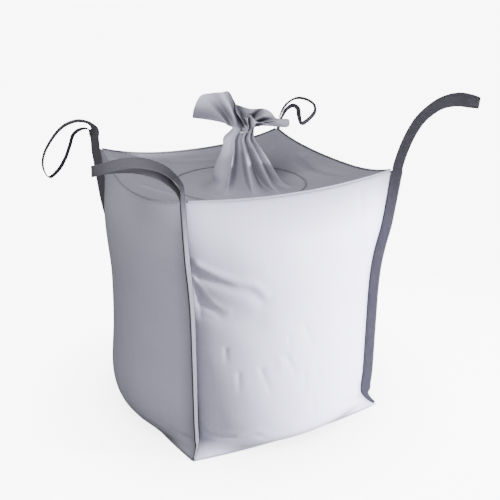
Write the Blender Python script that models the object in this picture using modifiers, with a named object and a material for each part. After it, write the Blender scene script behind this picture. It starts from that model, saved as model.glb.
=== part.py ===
"""A filled bulk bag: four fabric sides, a flat base, a dished top with a tied filling spout, and a
webbing belt on each corner seam that runs up into a lifting loop. Metres, +Z up, the origin at the
centre of the base's underside, the front face towards -Y.
"""

import math

import bpy
from mathutils import Matrix, Vector

# Driving dimensions
CORNER_HEIGHT = 1.27
FABRIC = 0.002
BASE_FABRIC = 0.0025
WEBBING = 0.0025
WEBBING_WIDTH = 0.048
SEAM_ALLOWANCE = 0.044
GAP = 0.0004

# Each corner seam stands this far from both middle planes: (height, distance)
SEAM = ((0, 0.530), (0.03, 0.492), (0.07, 0.472), (0.2, 0.475), (0.45, 0.477), (0.7, 0.480),
        (0.85, 0.490), (1.0, 0.511), (1.27, 0.535))
# The middle of each side stands this far out: (height, distance)
BULGE = ((0, 0.572), (0.06, 0.650), (0.2, 0.685), (0.45, 0.662), (0.7, 0.652), (0.9, 0.662),
         (1.05, 0.650), (1.18, 0.590), (1.27, 0.548))
BULGE_POWER = 2.1
TOP_SAG = {"front": 0.030, "right": 0.078, "back": 0.080, "left": 0.078}
SAG_POWER = 2.2
SIDES = {"front": 0, "right": 1, "back": 2, "left": 3}
SIDE_CUTS = 10
# How far up the sides their rows of points lie, closer where the foot of each corner flares
ROW_FRACTIONS = (0, 0.018, 0.042, 0.075, 0.14, 0.25, 0.38, 0.52, 0.65, 0.76, 0.86, 0.94, 1)
SIDE_BOTTOM = BASE_FABRIC + FABRIC + GAP
SEAM_GAP = 0.0028

# How far the top panel stays inside the sides, and how it dishes towards the spout
TOP_INSET = FABRIC + 0.0025
TOP_STEPS = 4
DISH_POWER = 1.3

SPOUT_RADIUS = 0.335
SPOUT_HEIGHT = 1.150
RING_RADIUS = 0.0035
SPOUT_PROFILE = ((0.0465, 1.378), (0.052, 1.350), (0.066, 1.310), (0.090, 1.260), (0.120, 1.215),
                 (0.165, 1.170), (0.215, 1.148), (0.270, 1.142), (0.3305, 1.1485))
SPOUT_CUTS = 20
NECK_HOLE = 0.006
NECK_TOP = 1.392
TIE_RADIUS = 0.0505
TIE_THICKNESS = 0.0035
NECK = Vector((0.0, 0.0, 1.402))
# The ruffle above the neck: (height over the neck, half length, half depth)
RUFFLE = ((0.012, 0.018, 0.014), (0.035, 0.050, 0.034), (0.065, 0.105, 0.060),
          (0.100, 0.170, 0.085), (0.135, 0.226, 0.100))
RUFFLE_CUTS = 28
RUFFLE_TURN = math.radians(-28.6)
RUFFLE_PEAK = 0.058
RUFFLE_LEAN = math.radians(30)

CONTENTS_INSET = 0.006
CONTENTS_DROP = 0.011
CONTENTS_TOP = 1.124
CONTENTS_RINGS = (0.35, 0.7, 1.0)

CORNERS = {"front_left": (-1, -1), "front_right": (1, -1), "back_left": (-1, 1), "back_right": (1, 1)}
BELT_OFFSET = FABRIC / 2 + GAP + WEBBING / 2
BELT_ROWS = [SIDE_BOTTOM + 0.001 + (CORNER_HEIGHT - SIDE_BOTTOM) * f for f in ROW_FRACTIONS]
BELT_CLEARANCE = 0.0015
# Up to this height the belts and their seams widen from a narrow tail
TAIL_HEIGHT = 0.09
TAIL_START = 0.12
TAIL_POWER = 0.8
FOLD_WIDTH = 0.012
FOLD_GAP = 0.007
FOLD_LENGTH = 0.03
LOOP_STATIONS = 44
LOOP_STEP = 0.05
# Each loop bends at this height, on the middle line of its belt
FOLD_HEIGHT = {"front_left": 1.285, "front_right": 1.285, "back_left": 1.325, "back_right": 1.285}
# A loop's strap is a list of (outward, sideways, height, direction of the strap's width), with the
# direction given as (outward, sideways, up). Outward and sideways are counted from the middle line
# of the belt, and sideways is to the right of someone at the corner who looks outwards.
LOOPS = {
    "front_left": (
        (0, -0.0024, 1.292, (1, 0, 0)), (0, 0.004, 1.350, (1, 0, 0)), (0.004, 0.050, 1.398, (1, 0, -0.3)),
        (0.008, 0.104, 1.424, (1, 0, -0.6)), (0.016, 0.183, 1.436, (0.8, 0, -0.9)),
        (0.026, 0.265, 1.424, (0.4, 0, -1)), (0.026, 0.338, 1.400, (0.1, 0, -1)),
        (0, 0.402, 1.378, (0, 0, -1)), (-0.028, 0.338, 1.390, (0, 0, -1)),
        (-0.026, 0.265, 1.400, (0.15, 0, -1)), (-0.014, 0.183, 1.404, (0.5, 0, -1)),
        (-0.004, 0.115, 1.392, (0.9, 0, -0.7)), (0, 0.064, 1.366, (1, 0, -0.3)),
        (0, 0.024, 1.330, (1, 0, 0)), (0, 0.0024, 1.292, (1, 0, 0))),
    "front_right": (
        (0, 0.0024, 1.292, (1, 0, 0)), (0.020, 0.0030, 1.371, (1, 0, -0.2)),
        (0.047, 0.0035, 1.445, (1, 0, -0.4)), (0.083, 0.0050, 1.513, (1, 0, -0.6)),
        (0.127, 0.012, 1.562, (1, 0, -0.9)), (0.180, 0.028, 1.600, (0.6, 0, -1)),
        (0.245, 0.046, 1.618, (0.1, 0, -1)), (0.305, 0.038, 1.613, (-0.1, 0, -1)),
        (0.340, 0, 1.606, (-0.1, 0, -1)), (0.305, -0.038, 1.613, (-0.1, 0, -1)),
        (0.245, -0.046, 1.618, (0.1, 0, -1)), (0.180, -0.028, 1.600, (0.6, 0, -1)),
        (0.127, -0.012, 1.562, (1, 0, -0.9)), (0.083, -0.0050, 1.513, (1, 0, -0.6)),
        (0.047, -0.0035, 1.445, (1, 0, -0.4)), (0.020, -0.0030, 1.371, (1, 0, -0.2)),
        (0, -0.0024, 1.292, (1, 0, 0))),
    "back_left": (
        (0, -0.0024, 1.332, (1, 0, 0)), (-0.004, -0.004, 1.358, (0.8, -0.6, 0)),
        (0.002, -0.003, 1.388, (0.2, -0.9, 0.4)), (0.040, 0, 1.408, (-0.35, -0.9, 0.65)),
        (0.103, 0, 1.409, (-0.2, -0.9, 0.65)), (0.180, 0, 1.376, (-0.1, -0.9, 0.6)),
        (0.250, 0, 1.307, (0, -0.9, 0.55)), (0.307, 0, 1.218, (0, -0.9, 0.45)),
        (0.319, 0, 1.143, (0.05, -0.9, 0.3)), (0.288, 0, 1.096, (-0.25, -0.9, 0.05)),
        (0.230, 0, 1.137, (-0.45, -0.9, 0.1)), (0.181, 0, 1.207, (-0.55, -0.9, 0.2)),
        (0.150, 0, 1.274, (-0.6, -0.9, 0.25)), (0.124, 0, 1.334, (-0.5, -0.9, 0.15)),
        (0.084, 0, 1.366, (-0.4, -0.9, 0.05)), (0.040, 0.001, 1.374, (-0.2, -0.9, 0.05)),
        (0.014, 0.004, 1.357, (0.6, -0.8, 0)), (0.003, 0.0030, 1.332, (1, -0.1, 0))),
    "back_right": (
        (0, -0.0024, 1.292, (1, 0, 0)), (0, 0.008, 1.340, (1, -0.15, -0.15)),
        (0, 0.034, 1.393, (1, -0.3, -0.2)), (0, 0.073, 1.431, (1, -0.35, -0.1)),
        (0, 0.114, 1.447, (1, -0.25, 0)), (0, 0.164, 1.441, (1, -0.15, 0.05)),
        (0, 0.207, 1.415, (1, 0, -0.1)), (0, 0.213, 1.375, (1, 0, -0.3)),
        (0, 0.183, 1.333, (1, -0.1, -0.4)), (0, 0.138, 1.302, (1, -0.25, -0.45)),
        (0, 0.121, 1.345, (1, -0.45, -0.45)), (0, 0.114, 1.386, (1, -0.45, -0.45)),
        (0, 0.085, 1.402, (1, -0.3, -0.5)), (0, 0.047, 1.378, (1, -0.15, -0.4)),
        (0, 0.022, 1.335, (1, -0.05, -0.2)), (0, 0.0024, 1.292, (1, 0, 0))),
}


def clear_scene():
    for obj in list(bpy.data.objects):
        bpy.data.objects.remove(obj, do_unlink=True)


def material(name, colour, roughness):
    """A plain material of one colour."""
    made = bpy.data.materials.new(name)
    made.use_nodes = True
    shader = made.node_tree.nodes["Principled BSDF"]
    shader.inputs["Base Color"].default_value = (*colour, 1)
    shader.inputs["Roughness"].default_value = roughness
    shader.inputs["Metallic"].default_value = 0
    return made


def curve_through(points, position):
    """A smooth curve through tuples of numbers: the tuple at position, where point i is at i."""
    last = len(points) - 1
    position = min(max(position, 0), last)
    start = min(int(position), last - 1)
    f = position - start
    a, b, c, d = (points[min(max(start + i, 0), last)] for i in (-1, 0, 1, 2))
    return tuple(
        0.5 * (2 * q + (r - p) * f + (2 * p - 5 * q + 4 * r - s) * f**2 + (3 * q - p - 3 * r + s) * f**3)
        for p, q, r, s in zip(a, b, c, d)
    )


def profile_at(profile, height):
    """The smooth value of a profile of (height, value) pairs."""
    heights = [point[0] for point in profile]
    above = next((i for i, h in enumerate(heights) if h >= height), len(heights) - 1)
    above = max(above, 1)
    slopes = []
    for i in (above - 1, above):
        lower, upper = max(i - 1, 0), min(i + 1, len(profile) - 1)
        slopes.append((profile[upper][1] - profile[lower][1]) / (heights[upper] - heights[lower]))
    (h0, v0), (h1, v1) = profile[above - 1], profile[above]
    span = h1 - h0
    f = min(max((height - h0) / span, 0), 1)
    return (
        v0 * (1 - f) ** 2 * (1 + 2 * f)
        + v1 * f**2 * (3 - 2 * f)
        + span * f * (1 - f) * (slopes[0] * (1 - f) - slopes[1] * f)
    )


def top_height(side, across):
    """The height of a side's top edge, which hangs between the corners. across is -1 to 1."""
    return CORNER_HEIGHT - TOP_SAG[side] * (1 - abs(across) ** SAG_POWER)


def side_point(side, across, height, inset=0.0):
    """A point of a side's outer surface, or inset from it."""
    seam = profile_at(SEAM, height)
    bulge = profile_at(BULGE, height) - seam
    lateral = (seam - SEAM_GAP - inset) * across
    outward = seam + bulge * (1 - abs(across) ** BULGE_POWER) - inset
    turn = Matrix.Rotation(math.radians(90 * SIDES[side]), 3, "Z")
    return turn @ Vector((lateral, -outward, height))


def around(cuts=SIDE_CUTS):
    """(side, across) all the way round the bag, counterclockwise from above."""
    return [(side, 2 * i / cuts - 1) for side in SIDES for i in range(cuts)]


def add_mesh(name, points, faces, look):
    mesh = bpy.data.meshes.new(name)
    mesh.from_pydata([tuple(point) for point in points], [], faces)
    mesh.materials.append(look)
    mesh.shade_smooth()
    obj = bpy.data.objects.new(name, mesh)
    parts.objects.link(obj)
    return obj


def add_grid(name, rows, look, thickness, offset, ring=False):
    """A surface through rows of points, made thick. With ring, each row closes on itself."""
    count = len(rows[0])
    steps = range(count if ring else count - 1)
    faces = [
        (r * count + i, r * count + (i + 1) % count, (r + 1) * count + (i + 1) % count, (r + 1) * count + i)
        for r in range(len(rows) - 1)
        for i in steps
    ]
    obj = add_mesh(name, [point for row in rows for point in row], faces, look)
    solidify = obj.modifiers.new("thickness", "SOLIDIFY")
    solidify.thickness = thickness
    solidify.offset = offset
    solidify.use_even_offset = True
    return obj


def make_sides():
    """The four side panels, from just over the base to their hanging top edges."""
    for side in SIDES:
        rows = []
        for f in ROW_FRACTIONS:
            row = []
            for i in range(SIDE_CUTS + 1):
                across = 2 * i / SIDE_CUTS - 1
                height = SIDE_BOTTOM + (top_height(side, across) - SIDE_BOTTOM) * f
                row.append(side_point(side, across, height))
            rows.append(row)
        add_grid(f"side_panel_{side}", rows, fabric, FABRIC, -1)


def make_base():
    """The flat base panel that the bag stands on."""
    outline = [side_point(side, across, 0) for side, across in around()]
    base = add_mesh("base_panel", outline, [tuple(range(len(outline)))], fabric)
    solidify = base.modifiers.new("thickness", "SOLIDIFY")
    solidify.thickness = BASE_FABRIC
    solidify.offset = 1


def make_top():
    """The top panel: it hangs from the four top edges down to the spout's round seam."""
    inner_radius = SPOUT_RADIUS + RING_RADIUS + GAP
    rows = []
    for r in range(TOP_STEPS + 1):
        f = r / TOP_STEPS
        row = []
        for side, across in around():
            outer = side_point(side, across, top_height(side, across), TOP_INSET)
            inner = Vector((outer.x, outer.y, 0)).normalized() * inner_radius
            point = Vector((outer.x, outer.y, 0)).lerp(inner, f)
            point.z = SPOUT_HEIGHT + (outer.z - SPOUT_HEIGHT) * (1 - f) ** DISH_POWER
            row.append(point)
        rows.append(row)
    add_grid("top_panel", rows, fabric, FABRIC, -1, ring=True)


def add_turned(name, profile, look, steps, thickness=0.0):
    """A profile of (radius, height) turned about the Z axis, top first."""
    mesh = bpy.data.meshes.new(name)
    edges = [(i, i + 1) for i in range(len(profile) - 1)]
    mesh.from_pydata([(radius, 0, height) for radius, height in profile], edges, [])
    mesh.materials.append(look)
    obj = bpy.data.objects.new(name, mesh)
    parts.objects.link(obj)
    screw = obj.modifiers.new("turn", "SCREW")
    screw.steps = steps
    screw.render_steps = steps
    screw.merge_threshold = 0.0001
    screw.use_merge_vertices = True
    if thickness:
        solidify = obj.modifiers.new("thickness", "SOLIDIFY")
        solidify.thickness = thickness
        solidify.offset = -1
    return obj


def add_ring(name, radius, height, thickness, look, cuts):
    bpy.ops.mesh.primitive_torus_add(
        major_radius=radius, minor_radius=thickness, major_segments=cuts, minor_segments=6,
        location=(0, 0, height),
    )
    ring = bpy.context.object
    ring.name = name
    ring.data.materials.append(look)
    for collection in list(ring.users_collection):
        collection.objects.unlink(ring)
    parts.objects.link(ring)
    return ring


def make_spout():
    """The spout's seam ring, its gathered cone and the tie that closes the neck."""
    add_ring("spout_seam", SPOUT_RADIUS, SPOUT_HEIGHT - FABRIC / 2, RING_RADIUS - GAP, fabric, len(around()))
    profile = [(NECK_HOLE, NECK_TOP), (0.030, NECK_TOP - 0.003), *SPOUT_PROFILE]
    add_turned("filling_spout", profile, fabric, SPOUT_CUTS, FABRIC)
    add_ring("spout_tie", TIE_RADIUS + TIE_THICKNESS, SPOUT_PROFILE[0][1], TIE_THICKNESS, fabric, SPOUT_CUTS)


def make_ruffle():
    """The open end of the spout, which fans out above the neck. Its origin is on its joint."""
    rows = []
    for step, (rise, half_length, half_depth) in enumerate(RUFFLE):
        row = []
        for i in range(RUFFLE_CUTS):
            angle = 2 * math.pi * i / RUFFLE_CUTS
            lift = RUFFLE_PEAK * (step / (len(RUFFLE) - 1)) ** 2 * (0.5 - 0.5 * math.cos(angle - RUFFLE_LEAN))
            along, deep = half_length * math.cos(angle), half_depth * math.sin(angle)
            row.append(Vector((along, deep, rise + lift)))
        rows.append(row)
    ruffle = add_grid("spout_ruffle", rows, fabric, FABRIC, -1, ring=True)
    ruffle.location = NECK
    ruffle.rotation_euler.z = RUFFLE_TURN


def make_contents():
    """The granules that fill the bag, as one solid just inside the panels."""
    bottom = BASE_FABRIC + 2 * GAP
    rows = []
    for f in ROW_FRACTIONS:
        row = []
        for side, across in around():
            top = top_height(side, across) - CONTENTS_DROP
            height = bottom + (top - bottom) * f
            row.append(side_point(side, across, height, CONTENTS_INSET))
        rows.append(row)
    for f in CONTENTS_RINGS:
        row = []
        for point in rows[len(ROW_FRACTIONS) - 1]:
            flat = Vector((point.x, point.y, 0))
            ring = flat.lerp(flat.normalized() * SPOUT_RADIUS, f)
            ring.z = CONTENTS_TOP + (point.z - CONTENTS_TOP) * (1 - f) ** DISH_POWER
            row.append(ring)
        rows.append(row)
    count = len(rows[0])
    faces = [
        (r * count + i, r * count + (i + 1) % count, (r + 1) * count + (i + 1) % count, (r + 1) * count + i)
        for r in range(len(rows) - 1)
        for i in range(count)
    ]
    faces.append(tuple(reversed(range(count))))
    faces.append(tuple(range((len(rows) - 1) * count, len(rows) * count)))
    add_mesh("contents", [point for row in rows for point in row], faces, granules)


def corner_frame(corner):
    """(outward, sideways) unit vectors of a corner."""
    outward = Vector((*CORNERS[corner], 0)).normalized()
    return outward, Vector((outward.y, -outward.x, 0))


def corner_point(corner, outward, sideways, height):
    """A point of a corner's own frame, with outward counted from the bag's middle axis."""
    along, across = corner_frame(corner)
    return along * outward + across * sideways + Vector((0, 0, height))


def seam_edge(height, distance):
    """(outward, height) of a point that far from the corner seam, square to it."""
    step = 0.004
    low, high = max(height - step, 0), height + step
    rise = Vector((math.sqrt(2) * (profile_at(SEAM, high) - profile_at(SEAM, low)), high - low))
    normal = Vector((rise.y, -rise.x)).normalized()
    return Vector((math.sqrt(2) * profile_at(SEAM, height), height)) + normal * distance


def belt_middle():
    """How far out the middle line of a belt stands at the top of its corner."""
    return seam_edge(CORNER_HEIGHT, BELT_CLEARANCE + WEBBING_WIDTH / 2).x


def tail_width(height, full):
    """A belt and its seam narrow to a tail along the foot of the corner."""
    return full * (TAIL_START + (1 - TAIL_START) * min(height / TAIL_HEIGHT, 1) ** TAIL_POWER)


def make_corner_seams():
    """The folded seam allowance that stands out from each corner."""
    for corner in CORNERS:
        rows = [
            [
                corner_point(corner, edge.x, 0, edge.y)
                for distance in (BELT_CLEARANCE, BELT_CLEARANCE + tail_width(height, SEAM_ALLOWANCE))
                for edge in [seam_edge(height, distance)]
            ]
            for height in BELT_ROWS
        ]
        add_grid(f"corner_seam_{corner}", rows, fabric, FABRIC, 0)


def make_belts():
    """Two legs of webbing on each corner, one on either face of its seam, up to the loop's fold."""
    for corner in CORNERS:
        middle, fold = belt_middle(), FOLD_HEIGHT[corner]
        names = corner.split("_")
        if CORNERS[corner][0] * CORNERS[corner][1] < 0:
            names.reverse()
        for side, sign in zip(names, (-1, 1)):
            rows = []
            for height in BELT_ROWS:
                width = tail_width(height, WEBBING_WIDTH)
                edges = [seam_edge(height, BELT_CLEARANCE + d) for d in (0, width)]
                rows.append([corner_point(corner, edge.x, sign * BELT_OFFSET, edge.y) for edge in edges])
            for height, width in ((fold - FOLD_LENGTH, WEBBING_WIDTH), (fold - FOLD_GAP, FOLD_WIDTH)):
                if height > BELT_ROWS[-1]:
                    edges = [middle - width / 2, middle + width / 2]
                    rows.append([corner_point(corner, x, sign * BELT_OFFSET, height) for x in edges])
            add_grid(f"belt_{corner}_{side}", rows, webbing, WEBBING, 0)


def make_loops():
    """The lifting loops, each one strap that leaves one leg of its belt and returns to the other."""
    for corner, route in LOOPS.items():
        along, across = corner_frame(corner)
        last = len(route) - 1
        pivot = corner_point(corner, belt_middle(), 0, FOLD_HEIGHT[corner])
        numbers = [(*point[:3], *point[3]) for point in route]
        rows = []
        for i in range(LOOP_STATIONS + 1):
            position = last * i / LOOP_STATIONS
            at = curve_through(numbers, position)
            ahead = curve_through(numbers, position + LOOP_STEP)
            behind = curve_through(numbers, position - LOOP_STEP)
            tangent = Vector(ahead[:3]) - Vector(behind[:3])
            width = Vector(at[3:])
            width = (width - tangent * width.dot(tangent) / tangent.length_squared).normalized()
            from_end = min(position, last - position)
            half = (FOLD_WIDTH + (WEBBING_WIDTH - FOLD_WIDTH) * min(from_end, 1)) / 2
            row = []
            for sign in (-half, half):
                x, y, z = Vector(at[:3]) + width * sign
                place = along * (belt_middle() + x) + across * y + Vector((0, 0, z))
                row.append(place - pivot)
            rows.append(row)
        loop = add_grid(f"lifting_loop_{corner}", rows, webbing, WEBBING, 0)
        loop.location = pivot


clear_scene()
parts = bpy.data.collections.new("bulk_bag")
bpy.context.scene.collection.children.link(parts)
fabric = material("woven_fabric", (0.62, 0.62, 0.68), 0.6)
webbing = material("webbing", (0.16, 0.16, 0.18), 0.7)
granules = material("granules", (0.75, 0.72, 0.65), 0.8)
make_contents()
make_base()
make_sides()
make_top()
make_spout()
make_ruffle()
make_corner_seams()
make_belts()
make_loops()
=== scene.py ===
"""The looks of the filled bulk bag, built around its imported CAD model: cloth panels that bulge and
crease, a dished top, a spout gathered into pleats that open above the neck, and four webbing straps
that each run up one face of a corner seam, over as a lifting loop and down the other face.

Everything is in metres, in the CAD's frame: +Z up, the front towards -Y, the origin under the middle.
"""

import math

import bpy
import numpy as np
from mathutils import Euler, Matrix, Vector


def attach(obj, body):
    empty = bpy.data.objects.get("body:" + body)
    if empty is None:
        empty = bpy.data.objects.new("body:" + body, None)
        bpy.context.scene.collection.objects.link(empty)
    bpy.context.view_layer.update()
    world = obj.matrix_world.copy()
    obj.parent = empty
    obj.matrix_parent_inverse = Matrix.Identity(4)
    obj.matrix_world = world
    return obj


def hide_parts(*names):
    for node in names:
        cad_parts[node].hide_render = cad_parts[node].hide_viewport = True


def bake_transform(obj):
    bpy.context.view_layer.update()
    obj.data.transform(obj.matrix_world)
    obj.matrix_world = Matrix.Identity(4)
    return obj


# The CAD's own dimensions
CORNER_HEIGHT = 1.27
FABRIC = 0.002
BASE_FABRIC = 0.0025
WEBBING = 0.0025
WEBBING_WIDTH = 0.048
SEAM_ALLOWANCE = 0.044
GAP = 0.0004
BELT_OFFSET = FABRIC / 2 + GAP + WEBBING / 2
BELT_CLEARANCE = 0.0015
TAIL_HEIGHT = 0.09
TAIL_START = 0.12
TAIL_POWER = 0.8
SIDE_BOTTOM = BASE_FABRIC + FABRIC + GAP
SEAM = ((0, 0.530), (0.03, 0.492), (0.07, 0.472), (0.2, 0.475), (0.45, 0.477), (0.7, 0.480),
        (0.85, 0.490), (1.0, 0.511), (1.27, 0.535))
BULGE = ((0, 0.572), (0.06, 0.650), (0.2, 0.685), (0.45, 0.662), (0.7, 0.652), (0.9, 0.662),
         (1.05, 0.650), (1.18, 0.590), (1.27, 0.548))
BULGE_POWER = 2.1
TOP_SAG = {"front": 0.030, "right": 0.078, "back": 0.080, "left": 0.078}
SAG_POWER = 2.2
SIDES = {"front": 0, "right": 1, "back": 2, "left": 3}
SPOUT_RADIUS = 0.335
SPOUT_HEIGHT = 1.150
CORNERS = {"front_left": (-1, -1), "front_right": (1, -1), "back_left": (-1, 1), "back_right": (1, 1)}
# Each loop as (outward, sideways, height, direction of its width), from the middle line of its legs
FRONT_RIGHT_HALF = (
    (0, 0.0024, 1.292, (1, 0, 0)), (0.020, 0.0030, 1.371, (1, 0, -0.2)),
    (0.047, 0.0035, 1.445, (1, 0, -0.4)), (0.083, 0.0050, 1.513, (1, 0, -0.6)),
    (0.127, 0.012, 1.562, (1, 0, -0.9)), (0.180, 0.028, 1.600, (0.6, 0, -1)),
    (0.245, 0.046, 1.618, (0.1, 0, -1)), (0.305, 0.038, 1.613, (-0.1, 0, -1)),
)
LOOPS = {
    "front_left": (
        (0, -0.0024, 1.292, (1, 0, 0)), (0, 0.004, 1.350, (1, 0, 0)), (0.004, 0.050, 1.398, (1, 0, -0.3)),
        (0.008, 0.104, 1.424, (1, 0, -0.6)), (0.016, 0.183, 1.436, (0.8, 0, -0.9)),
        (0.026, 0.265, 1.424, (0.4, 0, -1)), (0.026, 0.338, 1.400, (0.1, 0, -1)),
        (0, 0.402, 1.378, (0, 0, -1)), (-0.028, 0.338, 1.390, (0, 0, -1)),
        (-0.026, 0.265, 1.400, (0.15, 0, -1)), (-0.014, 0.183, 1.404, (0.5, 0, -1)),
        (-0.004, 0.115, 1.392, (0.9, 0, -0.7)), (0, 0.064, 1.366, (1, 0, -0.3)),
        (0, 0.024, 1.330, (1, 0, 0)), (0, 0.0024, 1.292, (1, 0, 0))),
    "front_right": (
        *FRONT_RIGHT_HALF, (0.340, 0, 1.606, (-0.1, 0, -1)),
        *((outward, -sideways, *rest) for outward, sideways, *rest in reversed(FRONT_RIGHT_HALF))),
    "back_left": (
        (0, -0.0024, 1.332, (1, 0, 0)), (-0.004, -0.004, 1.358, (0.8, -0.6, 0)),
        (0.002, -0.003, 1.388, (0.1, -0.9, 0)), (0.040, 0, 1.408, (-0.42, -0.9, -0.08)),
        (0.103, 0, 1.409, (-0.6, -0.9, -0.1)), (0.180, 0, 1.376, (-0.72, -0.9, -0.05)),
        (0.250, 0, 1.307, (-0.78, -0.9, 0)), (0.307, 0, 1.218, (-0.82, -0.9, 0.1)),
        (0.319, 0, 1.143, (-0.85, -0.9, 0.25)), (0.288, 0, 1.096, (-0.52, -0.9, 0.55)),
        (0.230, 0, 1.137, (-0.25, -0.9, 0.5)), (0.181, 0, 1.207, (-0.2, -0.9, 0.4)),
        (0.150, 0, 1.274, (-0.2, -0.9, 0.4)), (0.124, 0, 1.334, (-0.2, -0.9, 0.4)),
        (0.084, 0, 1.366, (-0.25, -0.9, 0.45)), (0.040, 0.001, 1.374, (-0.4, -0.9, 0.4)),
        (0.014, 0.004, 1.357, (0.6, -0.8, 0)), (0.003, 0.0030, 1.332, (1, -0.1, 0))),
    "back_right": (
        (0, -0.0024, 1.292, (1, 0, 0)), (0, 0.008, 1.340, (1, -0.45, -0.35)),
        (0, 0.034, 1.393, (1, -0.6, -0.2)), (0, 0.073, 1.431, (1, -0.5, -0.1)),
        (0, 0.114, 1.447, (1, -0.35, 0.1)), (0, 0.164, 1.441, (1, -0.1, 0.1)),
        (0, 0.207, 1.415, (1, 0.1, -0.1)), (0, 0.213, 1.375, (1, 0.1, -0.5)),
        (0, 0.183, 1.333, (1, 0, -0.65)), (0, 0.138, 1.302, (1, -0.35, -0.85)),
        (0, 0.121, 1.345, (1, -0.9, -0.5)), (0, 0.114, 1.386, (1, -0.85, -0.7)),
        (0, 0.085, 1.402, (1, -0.3, -0.8)), (0, 0.047, 1.378, (1, -0.05, -0.6)),
        (0, 0.022, 1.335, (1, 0, -0.4)), (0, 0.0024, 1.292, (1, 0, 0))),
}
# Where each strap stops following the bag and starts to follow its loop: (outward, sideways, height)
LOOP_BEND = {
    "front_left": ((0, -0.02, 1.278), (0, 0.045, 1.345)),
    "front_right": ((0, 0, 1.272), (0, 0, 1.345)),
    "back_left": ((-0.01, 0, 1.300), (0.035, 0, 1.345)),
    "back_right": ((0, -0.01, 1.275), (0, 0.03, 1.335)),
}

# Thickness of the cloth
CLOTH = 0.0016
SPOUT_CLOTH = 0.0014
HEM_CLOTH = 0.0022
ALLOWANCE_CLOTH = 0.0018

# Sides: the grid of each panel, and half its width, for its creases
SIDE_ROWS = 150
SIDE_COLUMNS = 120
HALF_SIDE = 0.55
EDGE_FADE = 0.05
END_FADE = 0.03
# How much a crease fades along its length, and the side's soft unevenness
CREASE_FADE = 0.6
SIDE_RIPPLE = 0.0016
RIPPLE_STRETCH = 0.6
# Gathers along each corner seam of a panel
PUCKERS = 16

# Top: the grid of the panel, and how sharply it dishes towards the spout
TOP_INSET = 0.0045
TOP_STEPS = 70
TOP_RINGS = 46
TOP_RIPPLE = 0.004
DISH_POWER = 1.3
BASE_STEPS = 60
BASE_RINGS = 16

# Fill: how far it stays in from the cloth, where it starts and how far under the top edges it ends
FILL_INSET = 0.026
FILL_BOTTOM = 0.010
FILL_DROP = 0.045
FILL_MIDDLE = 1.095
FILL_STEPS = 40

# The hems: the share of its edge that each covers, how low and how high it stands, and the shares by
# which its height varies and it leans
HEM_REACH = 0.985
HEM_RISE = (-0.004, 0.0085)
HEM_WAVE = 0.048
HEM_LEAN = 0.096
# How far each corner's allowance reaches in between its panels
ALLOWANCE_TUCK = 0.0035

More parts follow.
